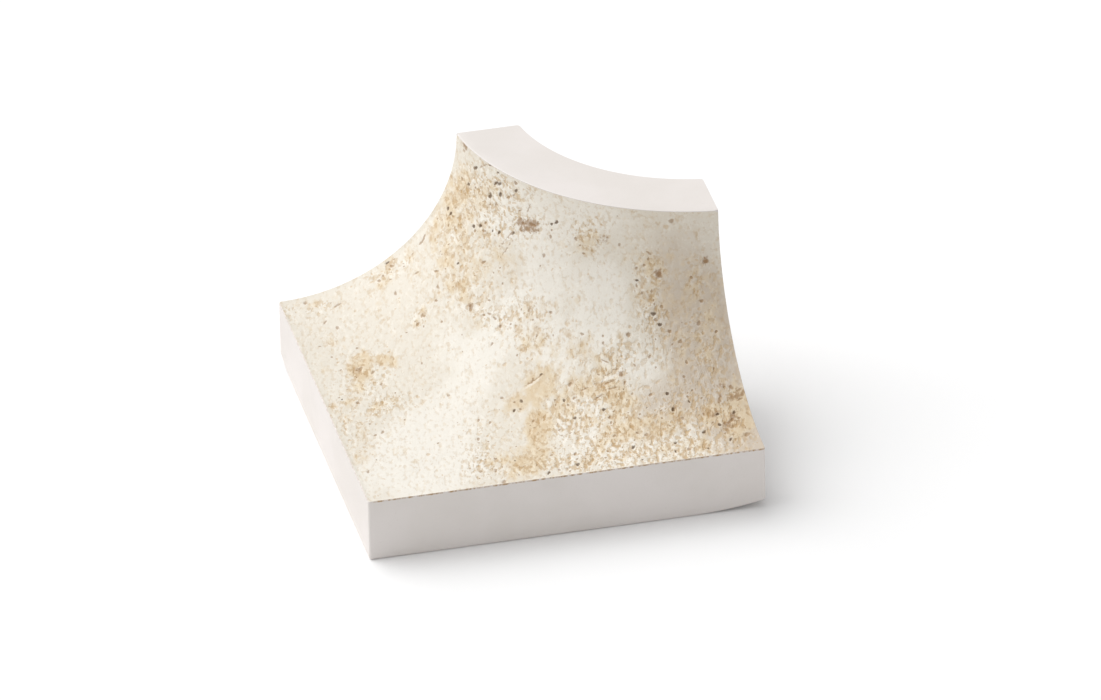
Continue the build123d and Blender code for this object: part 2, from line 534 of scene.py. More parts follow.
    pattern: FlatPattern
    seed: int = 24
    noted_shares: tuple[float, float] = (0.9, 0.95)  # shares of the noted half length and width that are laid
    fine_pits: int = 660
    fine_size: float = 0.25  # usual half length of a fine pit
    fine_spread: float = 0.32
    fine_limits: tuple[float, float] = (0.15, 0.5)
    fine_widths: tuple[float, float] = (0.5, 0.85)  # shares of the half length
    fine_room: float = 1.15  # least distance from another pit, as a share of both half lengths
    plain_chance: float = 0.05  # chance of a fine pit where the face isn't coarse
    dark_share: float = 0.03
    brown_share: float = 0.25
    edge_room: float = 0.5  # least distance of a fine pit's middle from the square's edges
    arris_room: float = 0.7  # the same from the top arris
    grain_angles: tuple[float, float] = (65.0, 165.0)  # degrees, before and behind grain_change
    grain_change: float = 44.0
    lean: float = 24.0  # spread of a fine pit's angle about the grain
    most_tries: int = 60000
    mean_sink: float = 0.09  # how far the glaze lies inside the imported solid, its swells on either side
    # each swell by its height and its waves
    swells: tuple[tuple[float, Swell], ...] = ((0.035, Swell(2.6, 5)), (0.06, Swell(7.0, 6)))
    fine_swell: tuple[float, Swell] = (0.024, Swell(0.95, 7))
    fine_base: float = 0.75  # share of the fine swell where the face isn't coarse
    lip_rise: float = 0.008
    pit_overlap: float = 1.45  # share of an earlier pit's edge past which a later pit's vertices are kept
    tone_reach: float = 1.4  # share of a pit's edge up to which its tone is marked
    plain_tone: float = 0.3  # tone mark away from the pits
    most_zone: float = 1.2

    def __post_init__(self) -> None:
        """Place the noted pits and scatter the fine ones between them."""
        self.rng = np.random.default_rng(self.seed)
        self.zones = {mark: [Patch(*row) for row in rows] for mark, rows in self.ZONES.items()}
        self.pits: list[Pit] = []
        for rows, tone in ((self.DARK_PITS, Tone.DARK), (self.BROWN_PITS, Tone.BROWN)):
            for x, y, long, wide, angle in rows:
                self._lay(x, y, long * self.noted_shares[0], wide * self.noted_shares[1], angle, tone)
        for start, end, wide in self.CRACKS:
            x, y = (start[0] + end[0]) / 2, (start[1] + end[1]) / 2
            angle = math.degrees(math.atan2(end[1] - start[1], end[0] - start[0]))
            self._lay(x, y, math.dist(start, end) / 2, wide, angle, Tone.BROWN)
        self._scatter()

    def _lay(self, x: float, y: float, long: float, wide: float, angle: float, tone: Tone) -> None:
        """Add a pit whose edge wavers by a seeded phase.

        Args:
            x: Pattern x of its middle.
            y: Pattern y of its middle.
            long: Half length.
            wide: Half width.
            angle: Angle in degrees.
            tone: Tone of its lining.
        """
        self.pits.append(Pit(x, y, long, wide, angle, tone, self.rng.uniform(0, FULL_TURN)))

    def _scatter(self) -> None:
        """Scatter fine pits, thickest where the face is coarse and drawn out along its grain."""
        s, aim = self.pattern.sizes, len(self.pits) + self.fine_pits
        for _ in range(self.most_tries):
            if len(self.pits) == aim:
                break
            x, y = self.rng.uniform(self.edge_room, s.side - self.edge_room, 2)
            spot = np.array([[x, y]])
            if s.from_axis(spot)[0] < self.pattern.top + self.arris_room:
                continue
            here = self.zone("coarse", spot)[0]
            if self.rng.uniform() > self.plain_chance + (1.0 - self.plain_chance) * min(here, 1.0):
                continue
            size = np.exp(self.rng.normal(math.log(self.fine_size), self.fine_spread))
            size = float(np.clip(size, *self.fine_limits))
            if any(math.hypot(x - p.x, y - p.y) < self.fine_room * (size + p.long) for p in self.pits):
                continue
            pick = self.rng.uniform()
            tone = Tone.BROWN if pick < self.brown_share else Tone.OCHRE
            if pick < self.dark_share * here:
                tone = Tone.DARK
            wide = size * self.rng.uniform(*self.fine_widths)
            grain = self.grain_angles[0 if y < self.grain_change else 1]
            self._lay(x, y, size, wide, grain + self.rng.normal(0, self.lean), tone)

    def zone(self, mark: str, points: Array) -> Array:
        """Summed strength of the zones of one mark at pattern points, with a cap."""
        return np.minimum(sum(patch.weight(points) for patch in self.zones[mark]), self.most_zone)

    def vertices(self) -> Array:
        """Vertices that draw every pit, none inside another pit.

        Returns:
            Pattern points.
        """
        kept: list[Array] = []
        for index, pit in enumerate(self.pits):
            ring = pit.rings()
            for other in self.pits[:index]:
                if math.hypot(pit.x - other.x, pit.y - other.y) < Pit.REACH * (pit.long + other.long):
                    ring = ring[other.share(ring) > self.pit_overlap]
            kept.append(ring)
        return np.vstack(kept)

    def clear_of_pits(self, points: Array) -> Array:
        """Tell which pattern points lie outside every pit's rings.

        Args:
            points: Pattern points.

        Returns:
            True where the point is free.
        """
        free = np.ones(len(points), bool)
        for pit in self.pits:
            near = pit.near(points, 1.8)
            free[near] &= pit.share(points[near]) > Pit.REACH
        return free

    def relief(self, points: Array) -> dict[str, Array]:
        """Depth and marks of the face at points of the pattern.

        Args:
            points: Pattern points.

        Returns:
            How far each point is sunk, and the marks that the glaze is coloured by.
        """
        sink, pits, lips = np.zeros((3, len(points)))
        tone = np.full(len(points), self.plain_tone)
        for pit in self.pits:
            near = pit.near(points, 1.9)
            share = pit.share(points[near])
            ridge = smooth(*Pit.LIP[:2], share) * (1.0 - smooth(*Pit.LIP[1:], share))
            sink[near] = np.maximum(sink[near], pit.depth * (1.0 - smooth(*Pit.BOWL, share)))
            pits[near] = np.maximum(pits[near], 1.0 - smooth(*Pit.LINING, share))
            lips[near] = np.maximum(lips[near], ridge)
            tone[near[share < self.tone_reach]] = pit.tone.value
        marks = {mark: self.zone(mark, points) for mark in self.zones}
        swell = sum(height * waves.at(points) for height, waves in self.swells)
        height, waves = self.fine_swell
        fine = height * waves.at(points) * (self.fine_base + marks["coarse"])
        sink = sink + self.mean_sink + swell + fine - self.lip_rise * lips
        return marks | {"sink": sink, "pit": pits, "lip": lips, "tone": tone}


# the tile's mesh


class Skin(IntEnum):
    """Material slots of the tile."""

    GLAZE = 0
    BODY = 1


class Wall(IntEnum):
    """Upright surfaces of the tile, in the order of their places on the texture square."""

    FRONT_TOE = 0
    SIDE_TOE = 1
    RIGHT_END = 2
    REAR_END = 3
    BACK = 4


@dataclass(frozen=True)
class Island:
    """Place of one surface on the texture square."""

    left: float
    low: float
    scale: float
    base: float = 0.0  # millimetres at the surface's foot that share the island's lowest line

    def lay(self, across: Array, up: Array) -> Array:
        """Texture coordinates for surface millimetres.

        Args:
            across: Millimetres across the surface.
            up: Millimetres up the surface.

        Returns:
            Texture coordinates.
        """
        up = np.maximum(up - self.base, 0.0)
        return np.column_stack([self.left + across * self.scale, self.low + up * self.scale])


@dataclass
class MeshStore:
    """Vertices, faces and texture coordinates of one closed mesh, gathered surface by surface."""

    # marks that the shaders read: the taupe mark is partly painted shade, and the arris mark places a painted
    # highlight along the top arris
    MARKS = ("pit", "lip", "tone", "ochre", "pale", "stain", "glint", "taupe_and_painted_shade", "coarse", "under", "arris")

    points: list[Array] = field(default_factory=list)
    marks: list[Array] = field(default_factory=list)
    pattern: list[Array] = field(default_factory=list)
    faces: list[Array] = field(default_factory=list)
    texture: list[Array] = field(default_factory=list)
    skins: list[Array] = field(default_factory=list)
    count: int = 0

    def add_points(self, points: Array, pattern: Array, marks: dict[str, Array | float]) -> Array:
        """Add vertices.

        Args:
            points: Points in space, in millimetres from the free corner.
            pattern: Pattern points that the grain follows.
            marks: Marks of the glaze by name; those not given are 0.

        Returns:
            Their numbers.
        """
        rows = np.zeros((len(points), len(self.MARKS)))
        for mark, values in marks.items():
            rows[:, self.MARKS.index(mark)] = values
        self.points.append(points)
        self.pattern.append(pattern)
        self.marks.append(rows)
        self.count += len(points)
        return np.arange(self.count - len(points), self.count)

    def add_faces(self, faces: Array, texture: Array, skin: Array | Skin) -> None:
        """Add triangles.

        Args:
            faces: Vertex numbers, three to a row.
            texture: Texture coordinates of every corner, shaped (faces, 3, 2).
            skin: Material slot of every face, or one for all.
        """
        self.faces.append(faces)
        self.texture.append(texture)
        self.skins.append(np.broadcast_to(skin, len(faces)))

    def build(self, name: str, origin: tuple[float, float]) -> bpy.types.Object:
        """Make the Blender object.

        Args:
            name: Name of the object.
            origin: Plan point, in millimetres from the free corner, that becomes the origin.

        Returns:
            The object, linked to the scene.
        """
        points = (np.vstack(self.points) - (*origin, 0.0)) * MM
        faces = np.vstack(self.faces).astype(np.int32)
        mesh = bpy.data.meshes.new(name)
        mesh.vertices.add(len(points))
        mesh.vertices.foreach_set("co", points.astype(np.float32).ravel())
        mesh.loops.add(faces.size)
        mesh.loops.foreach_set("vertex_index", faces.ravel())
        mesh.polygons.add(len(faces))
        mesh.polygons.foreach_set("loop_start", np.arange(0, faces.size, 3, dtype=np.int32))
        mesh.polygons.foreach_set("material_index", np.concatenate(self.skins).astype(np.int32))
        mesh.update(calc_edges=True)
        layer = mesh.uv_layers.new(name="OFBake")
        layer.data.foreach_set("uv", np.vstack(self.texture).astype(np.float32).ravel())
        for mark, column in zip(self.MARKS, np.vstack(self.marks).astype(np.float32).T):
            values = mesh.attributes.new(mark, "FLOAT", "POINT")
            values.data.foreach_set("value", np.ascontiguousarray(column))
        flat = np.column_stack([np.vstack(self.pattern), np.zeros(self.count)])
        grain = mesh.attributes.new("pattern", "FLOAT_VECTOR", "POINT")
        grain.data.foreach_set("vector", flat.astype(np.float32).ravel())
        mesh.validate()
        piece = bpy.data.objects.new(name, mesh)
        bpy.context.scene.collection.objects.link(piece)
        return piece


@dataclass
class CornerTile:
    """The whole tile: glazed face and top band, walls, and underside, as one closed mesh."""

    END_HEEL_TURNS = (*range(7, 43, 7), *range(50, 75, 8))  # degrees round the heel with a vertex on an end
    HEEL_TURNS = (*range(0, 65, 8), 71)  # the same for the rows of the underside

    sizes: TileSizes = TileSizes()
    spacing: float = 0.36  # between vertices of the glazed face
    band_spacing: float = 1.3
    back_spacing: float = 0.45
    under_spacing: float = 1.5
    lift_spacing: float = 0.75  # over the lifted ends of the underside
    toe_bevel: float = 0.10
    end_bevel: float = 0.03
    top_bevel: float = 0.18
    foot_bevel: float = 0.28
    edge_drops: tuple[float, ...] = (0.0, 0.14, 0.4)  # rows of wall vertices below the upper edge
    corner_points: int = 7  # vertices round a quarter of an upright arris
    arris_points: int = 110  # vertices along the top arris, its ends counted
    heel_points: int = 60
    pit_room: float = 0.1  # least distance of a pit's vertices from the outline and the top arris
    face_room: float = 0.22  # the same for the rest of the glazed face
    band_room: float = 0.4
    corner_room: float = 0.6
    sole_room: float = 0.5
    tip_room: float = 0.05  # least distance of an end's vertices from the rounded back edge
    cove_room: float = 0.3  # the same from the top arris
    edge_fade: tuple[float, float] = (0.05, 0.5)  # distances from the outline over which relief sets in
    arris_fade: tuple[float, float] = (0.2, 0.9)  # the same from the top arris
    arris_flat: float = 0.3  # share of the top bevel that the arris is lowered by
    pocket_corner: float = 0.25
    pocket_draft: float = 0.12
    pocket_room: tuple[float, float] = (0.4, 0.3)  # least distance from a pocket's wall, inside and outside
    crisp: float = 32.0  # degrees past which an arris stays sharp
    back_room: float = 0.35  # distance from the back's face up to which a strip belongs to the back
    toe_room: float = 0.2  # the same for the toe walls
    fold: float = 0.15  # height of a bevel on the texture square
    back_start: float = 8.0  # degrees about the axis at which the back starts on the texture square
    face_island: Island = Island(0.005, 0.005, 0.0125)
    wall_islands: tuple[Island, ...] = (
        Island(0.005, 0.764, 0.0111),
        Island(0.005, 0.882, 0.0111),
        Island(0.766, 0.005, 0.006),
        Island(0.766, 0.225, 0.006),
        Island(0.766, 0.445, 0.006, base=8.0),
    )
    under_island: Island = Island(0.766, 0.62, 0.0037)

    def __post_init__(self) -> None:
        """Unroll the pattern and place the marks."""
        self.pattern = FlatPattern(self.sizes)
        self.stone = Travertine(self.pattern)
        self.store = MeshStore()

    # outline

    def _on_end(self, radius: Array) -> Array:
        """Plan points at given radii on the butting end that faces +X."""
        s = self.sizes
        return np.column_stack([np.full(len(radius), s.side), s.toe - np.sqrt(radius**2 - s.gap**2)])

    def _half_outline(self) -> tuple[Array, Array]:
        """Plan outline from the free corner, along the front toe and the +X end, to the middle of the back.

        Returns:
            Plan points, and the bevel of each under the upper edge.
        """
        s, low, high = self.sizes, self.sizes.arris, self.sizes.side - self.sizes.arris
        front = np.linspace(low, high, round((high - low) / self.spacing) + 1)[1:-1]
        first = self.pattern.reach(np.array([math.hypot(s.gap, s.toe - s.arris)]))[0]
        last = self.pattern.top + self.top_bevel
        cove = np.linspace(first, last, round((first - last) / self.spacing) + 1)[1:]
        # the end of the top band has steps that also draw the heel's curve below it
        tip_depth = math.sqrt((s.back + s.tip) ** 2 - (s.gap + s.tip) ** 2)
        heel = s.back + s.heel * (1 - np.sin(np.radians(self.END_HEEL_TURNS)))
        nearest = math.hypot(s.gap, tip_depth) + self.tip_room
        heel = heel[(heel > nearest) & (heel < s.wall_radius - self.cove_room)]
        closing = math.atan2(tip_depth, s.gap + s.tip)
        back_steps = round((closing - math.pi / 4) * s.back / self.back_spacing)
        points = self.corner_points
        tip = arc((s.side - s.tip, s.toe - tip_depth), s.tip, np.linspace(0.0, closing, points))
        parts: tuple[tuple[Array, Array | float], ...] = (
            (arc((low, low), s.arris, np.radians(np.linspace(225, 270, (points + 1) // 2))), self.toe_bevel),
            (np.column_stack([front, np.zeros(len(front))]), self.toe_bevel),
            (
                arc((high, low), s.arris, np.radians(np.linspace(270, 360, points))),
                np.linspace(self.toe_bevel, self.end_bevel, points),
            ),
            (self._on_end(self.pattern.section(cove)[0]), self.end_bevel),
            (self._on_end(np.array([s.wall_radius - self.top_bevel, *heel])), self.end_bevel),
            (tip, self.end_bevel),
            (arc(s.axis, -s.back, np.linspace(closing, math.pi / 4, back_steps + 1)[1:]), self.end_bevel),
        )
        bevels = [np.broadcast_to(bevel, len(part)) for part, bevel in parts]
        return np.vstack([part for part, _ in parts]), np.concatenate(bevels)

    def _outline(self) -> None:
        """Close the outline with its mirror image and work out its outward directions."""
        half, bevel = self._half_outline()
        self.edge = np.vstack([half, half[-2:0:-1, ::-1]])
        self.bevel = np.concatenate([bevel, bevel[-2:0:-1]])
        run = np.roll(self.edge, -1, axis=0) - np.roll(self.edge, 1, axis=0)
        self.outward = np.column_stack([run[:, 1], -run[:, 0]]) / np.hypot(*run.T)[:, None]

    # glazed face and top band

    def _hex_points(self, step: float) -> Array:
        """Pattern points over the whole square, in staggered rows.

        Args:
            step: Distance between neighbours.

        Returns:
            Pattern points.
        """
        end = self.sizes.side + step
        grid_x, grid_y = np.meshgrid(np.arange(0.0, end, step), np.arange(0.0, end, step * math.sqrt(0.75)))
        grid_x[1::2] += step / 2
        return np.column_stack([grid_x.ravel(), grid_y.ravel()])

    def _inside(self, points: Array, margin: float) -> Array:
        """Keep the pattern points that lie on the tile, clear of its outline and its top arris.

        Args:
            points: Pattern points.
            margin: Least distance from the outline.

        Returns:
            The points that can be used.
        """
        s = self.sizes
        reach = s.from_axis(points)
        radius = self.pattern.section(reach)[0]
        plan = self.pattern.place(points)[:, :2]
        room = np.minimum(plan, s.side - plan)
        # the end planes run nearly along the pattern's own edge, where the pattern is narrower than the plan
        ends = (s.toe - points).min(axis=1) > s.gap * reach / radius + margin
        arris = np.abs(reach - self.pattern.top) > self.top_bevel + margin
        corners = ~(room < self.corner_room).all(axis=1)
        return points[(room > margin).all(axis=1) & ends & arris & corners & (radius > s.back + margin)]

    def _face(self) -> Array:
        """Build the glazed face with its pits, and the flat band on top of the leg.

        Returns:
            Vertex numbers of the face's outermost ring, in the outline's order.
        """
        s, top = self.sizes, self.pattern.top
        # an inset point of a butting end keeps its place along the section
        ring = self.pattern.unroll(self.edge - self.outward * self.bevel[:, None])
        arcs: list[Array] = []
        edges = ring_edges(0, len(ring))
        total = len(ring)
        spare = s.gap + self.end_bevel
        for reach in (top + self.top_bevel, top, top - self.top_bevel):
            radius = float(self.pattern.section(np.array([reach]))[0][0])
            turns = np.linspace(math.asin(spare / radius), math.acos(spare / radius), self.arris_points)[1:-1]
            arcs.append(arc(s.axis, -reach, turns))
            edges += [(total + i, total + i + 1) for i in range(len(turns) - 1)]
            total += len(turns)
        fine, band = self._hex_points(self.spacing), self._hex_points(self.band_spacing)
        fine = fine[s.from_axis(fine) > top]
        fine = fine[self.stone.clear_of_pits(fine)]
        band = band[s.from_axis(band) < top]
        groups = ((self.stone.vertices(), self.pit_room), (fine, self.face_room), (band, self.band_room))
        inner = [self._inside(points, room) for points, room in groups]
        flat, tri, origin = triangulate(np.vstack([ring, *arcs, *inner]), edges, len(ring))
        marks = self.stone.relief(flat)
        reach = s.from_axis(flat)
        # the relief dies out at the edges and is absent from the band
        plan = self.pattern.place(flat)[:, :2]
        edge_room = np.minimum(plan, s.side - plan).min(axis=1)
        hold = smooth(*self.edge_fade, edge_room) * smooth(*self.arris_fade, reach - top)
        space = self.pattern.place(flat, marks.pop("sink") * hold)
        # the top arris is lowered into a rounding, and marked for a painted highlight along it
        arris_rounding_and_highlight = np.abs(reach - top) < 0.6 * self.top_bevel
        space[arris_rounding_and_highlight, 2] -= self.arris_flat * self.top_bevel
        numbers = self.store.add_points(space, flat, marks | {"arris": arris_rounding_and_highlight})
        glazed = s.from_axis(flat[tri].mean(axis=1)) > top + 0.9 * self.top_bevel
        texture = self.face_island.lay(*flat.T)
        self.store.add_faces(numbers[tri], texture[tri], np.where(glazed, Skin.GLAZE, Skin.BODY))
        place = {int(given): used for used, given in enumerate(origin)}
        return numbers[[place[i] for i in range(len(ring))]]

    # walls

    def _underside_height(self, plan: Array) -> Array:
        """Height of the underside over the floor.

        Args:
            plan: Plan points.

        Returns:
            Height in millimetres, without the keying pockets.
        """
        s = self.sizes
        curve = (s.relief_length**2 + s.relief_rise**2) / (2 * s.relief_rise)
        into = np.clip(plan.max(axis=1) - (s.side - s.relief_length), 0.0, None)
        lift = curve - np.sqrt(curve**2 - into**2)
        inward = np.clip(s.back + s.heel - s.from_axis(plan), 0.0, s.heel)
        heel = s.heel - np.sqrt(np.maximum(s.heel**2 - inward**2, 0.0))
        return np.maximum(lift, heel)

    def _walls(self, face_ring: Array) -> Array:
        """Build the toe walls, the butting ends and the back, from the face's ring to the underside's.

        Args:
            face_ring: Vertex numbers of the face's outermost ring.

        Returns:
            Vertex numbers of the lowest ring, where the underside starts.
        """
        s = self.sizes
        flat = self.pattern.unroll(self.edge)
        edge_radius = s.from_axis(self.edge)
        radius, height, out, up = self.pattern.section(self.pattern.reach(edge_radius))
        # a point under the upper edge is sunk into the surface by its bevel and stays on its own wall
        plan = self.edge.copy()
        ends = np.flatnonzero(np.isclose(self.edge.max(axis=1), s.side, atol=1e-6))
        free = np.where(self.edge[ends, 0] > self.edge[ends, 1], 1, 0)
        plan[ends, free] = s.toe - np.sqrt((radius - out * self.bevel)[ends] ** 2 - s.gap**2)
        top = np.column_stack([plan, height - up * self.bevel])
        foot_rise = np.where(edge_radius < s.back + 1e-3, 0.0, self.foot_bevel)
        low = np.column_stack([plan, self._underside_height(plan) + foot_rise])
        self.sole_plan = plan - self.outward * self.foot_bevel
        sole = np.column_stack([self.sole_plan, self._underside_height(self.sole_plan)])
        rows = [(top - (0.0, 0.0, drop), drop, top[:, 2] - drop) for drop in self.edge_drops]
        rows += [(low, DEEP, low[:, 2]), (sole, DEEP, low[:, 2] - self.fold)]
        texture = self._wall_texture(plan)
        upper, high = face_ring, top[:, 2] + self.fold
        for points, under, deep in rows:
            lower = self.store.add_points(points, flat, {"under": under})
            self._ring_strip(upper, lower, texture, high, deep)
            upper, high = lower, deep
        return upper

    def _along(self, wall: Array, plan: Array) -> Array:
        """Distance of plan points along their walls.

        Args:
            wall: Wall of each point.
            plan: Plan points.

        Returns:
            Millimetres across the wall.
        """
        right, up = (self.sizes.toe - plan).T
        turn = np.arctan2(up, right) - math.radians(self.back_start)
        x, y = plan.T
        return np.choose(wall, [x, y, y, x, turn * self.sizes.back])

    def _wall_texture(self, plan: Array) -> tuple[Array, Array, Array]:
        """Sort the outline's columns into walls for the texture square.

        Args:
            plan: Plan points of the outline.

        Returns:
            For each column that starts a strip, its wall, and the distance along that wall at both ends.
        """
        following = np.roll(plan, -1, axis=0)
        middle = (plan + following) / 2
        wall = np.full(len(plan), Wall.BACK)
        ends = self.sizes.from_axis(middle) > self.sizes.back + self.back_room
        wall[ends] = np.where(middle[ends, 1] > middle[ends, 0], Wall.REAR_END, Wall.RIGHT_END)
        wall[middle[:, 1] < self.toe_room] = Wall.FRONT_TOE
        wall[middle[:, 0] < self.toe_room] = Wall.SIDE_TOE
        return wall, self._along(wall, plan), self._along(wall, following)

    def _ring_strip(
        self, upper: Array, lower: Array, texture: tuple[Array, Array, Array], high: Array, deep: Array
    ) -> None:
        """Add the strip between two closed rings, wall by wall on the texture square.

        Args:
            upper: Vertex numbers of the upper ring.
            lower: Vertex numbers of the lower ring.
            texture: Walls and distances of the columns.
            high: Height of the upper ring on the texture.
            deep: Height of the lower ring on the texture.
        """
        wall, begin, end = texture
        following = (np.arange(len(upper)) + 1) % len(upper)
        for kind, island in zip(Wall, self.wall_islands):
            mine = np.flatnonzero(wall == kind)
            after = following[mine]
            a, b = island.lay(begin[mine], high[mine]), island.lay(begin[mine], deep[mine])
            c, d = island.lay(end[mine], deep[after]), island.lay(end[mine], high[after])
            first = np.column_stack([upper[mine], lower[mine], lower[after]])
            second = np.column_stack([upper[mine], lower[after], upper[after]])
            self.store.add_faces(first, np.stack([a, b, c], axis=1), Skin.BODY)
            self.store.add_faces(second, np.stack([a, c, d], axis=1), Skin.BODY)

    # underside

    def _pockets(self) -> list[tuple[float, float]]:
        """Middles of the keying pockets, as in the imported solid.

        Returns:
            Plan points.
        """
        s = self.sizes
        room = s.side - s.relief_length - 2 * s.key_margin
        count = int((room + s.key_rib) // s.key_pitch)
        centre = s.key_margin + room / 2
        clear = s.back + s.heel + s.key_margin + (s.key_pitch - s.key_rib) / math.sqrt(2)
        places = [centre + (i - (count - 1) / 2) * s.key_pitch for i in range(count)]
        return [(x, y) for x in places for y in places if math.hypot(s.toe - x, s.toe - y) > clear]

    def _pocket_ring(self, size: float) -> Array:
        """Square with rounded corners about a pocket's middle.

        Args:
            size: Half its width.

        Returns:
            Offsets from the middle, in order.
        """
        flat = size - self.pocket_corner
        straight = np.linspace(-flat, flat, 5)[1:-1]
        corner = arc((flat, flat), self.pocket_corner, np.linspace(0, math.pi / 2, 4))
        quarters = [np.vstack([np.column_stack([np.full(len(straight), size), straight]), corner])]
        for _ in range(3):
            x, y = quarters[-1].T
            quarters.append(np.column_stack([-y, x]))
        return np.vstack(quarters)

    def _underside(self, ring: Array) -> None:
        """Close the mesh below: lifted ends, rounded heel and keying pockets.

        Args:
            ring: Vertex numbers of the lowest ring of the walls.
        """
        s, step, half = self.sizes, self.under_spacing, (self.sizes.key_pitch - self.sizes.key_rib) / 2
        flat_side = s.side - s.relief_length
        edges, rows, total = ring_edges(0, len(ring)), [self.sole_plan], len(ring)
        lifted = flat_side + np.arange(0, s.relief_length, self.lift_spacing)
        axis = np.concatenate([np.arange(step, flat_side, step), lifted])
        grid = np.stack(np.meshgrid(axis, axis), axis=-1).reshape(-1, 2)
        keep = (np.abs(grid - s.side / 2) < s.side / 2 - self.sole_room).all(axis=1)
        keep &= s.from_axis(grid) > s.back + s.heel + self.band_room
        for spot in self._pockets():
            for size in (half, half - self.pocket_draft):
                rows.append(self._pocket_ring(size) + spot)
                edges += ring_edges(total, len(rows[-1]))
                total += len(rows[-1])
            near = np.abs(grid - spot).max(axis=1)
            keep &= (near < half - self.pocket_room[0]) | (near > half + self.pocket_room[1])
        rows.append(grid[keep])
        for turn in np.radians(self.HEEL_TURNS):
            radius = s.back + s.heel * (1 - math.sin(turn))
            inset = (s.gap + self.sole_room) / radius
            turns = np.linspace(math.asin(inset), math.acos(inset), self.heel_points)
            rows.append(arc(s.axis, -radius, turns))
        plan, tri, order = triangulate(np.vstack(rows), edges, len(ring))
        height = self._underside_height(plan)
        for spot in self._pockets():
            height[np.abs(plan - spot).max(axis=1) < half - self.pocket_draft / 2] = s.key_depth
        outer = order < len(ring)
        numbers = np.zeros(len(plan), int)
        numbers[outer] = ring[order[outer]]
        inner = np.column_stack([plan, height])[~outer]
        numbers[~outer] = self.store.add_points(inner, plan[~outer], {"under": DEEP})
        texture = self.under_island.lay(s.side - plan[:, 0], plan[:, 1])
        tri = tri[:, ::-1]
        self.store.add_faces(numbers[tri], texture[tri], Skin.BODY)

    def build(self, glaze: bpy.types.Material, body: bpy.types.Material) -> bpy.types.Object:
        """Build and dress the tile.

        Args:
            glaze: Finish of the face.
            body: Finish of everything else.

        Returns:
            The tile.
        """
        self._outline()
        self._underside(self._walls(self._face()))
        half = self.sizes.side / 2
        piece = self.store.build("corner_tile_fired", (half, half))
        piece.data.materials.append(glaze)
        piece.data.materials.append(body)
        self._shade(piece.data)
        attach(piece, "root")
        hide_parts("corner_tile")
        return piece

    def _shade(self, mesh: bpy.types.Mesh) -> None:
        """Shade smoothly, with crisp arrises everywhere but inside the glazed face.

        Args:
            mesh: The tile's mesh.
        """
        mesh.shade_smooth()
        mesh.set_sharp_from_angle(angle=math.radians(self.crisp))
        skins = np.zeros(len(mesh.polygons), np.int32)
        mesh.polygons.foreach_get("material_index", skins)
        edges = np.zeros(len(mesh.loops), np.int32)
        mesh.loops.foreach_get("edge_index", edges)
        glazed = np.zeros(len(mesh.edges), int)
        np.add.at(glazed, edges, np.repeat(skins == Skin.GLAZE, 3))
        layer = mesh.attributes["sharp_edge"]
        sharp = np.zeros(len(mesh.edges), bool)
        layer.data.foreach_get("value", sharp)
        sharp[glazed == 2] = False
        layer.data.foreach_set("value", sharp)


# shader helpers


@dataclass
class Wire:
    """A shader value that can be added, subtracted and multiplied like a number."""

    graph: Graph
    socket: bpy.types.NodeSocket | None

    def _maths(self, operation: str, left: Wire | float, right: Wire | float) -> Wire:
        """Add one Math node.

        Args:
            operation: The node's operation.
            left: First value.
            right: Second value.

        Returns:
            The result.
        """
        return self.graph.node("ShaderNodeMath", {"operation": operation}, {0: left, 1: right})

    def __add__(self, other: Wire | float) -> Wire:
        """Sum."""
        return self._maths("ADD", self, other)

    def __radd__(self, other: float) -> Wire:
        """Sum with a number before it."""
        return self._maths("ADD", other, self)

    def __sub__(self, other: Wire | float) -> Wire:
        """Difference."""
        return self._maths("SUBTRACT", self, other)

    def __rsub__(self, other: float) -> Wire:
        """Difference from a number."""
        return self._maths("SUBTRACT", other, self)

    def __mul__(self, other: Wire | float) -> Wire:
        """Product."""
        return self._maths("MULTIPLY", self, other)

    def __rmul__(self, other: float) -> Wire:
        """Product with a number before it."""
        return self._maths("MULTIPLY", other, self)

    def top(self, other: Wire | float) -> Wire:
        """Greater of two values."""
        return self._maths("MAXIMUM", self, other)

    def ease(self, low: float, high: float) -> Wire:
        """Ease from 0 to 1.

        Args:
            low: Value that gives 0.
            high: Value that gives 1.

        Returns:
            The eased value.
        """
        settings = {"interpolation_type": "SMOOTHSTEP", "clamp": True}
        inputs = {"Value": self, "From Min": low, "From Max": high}
        return self.graph.node("ShaderNodeMapRange", settings, inputs)


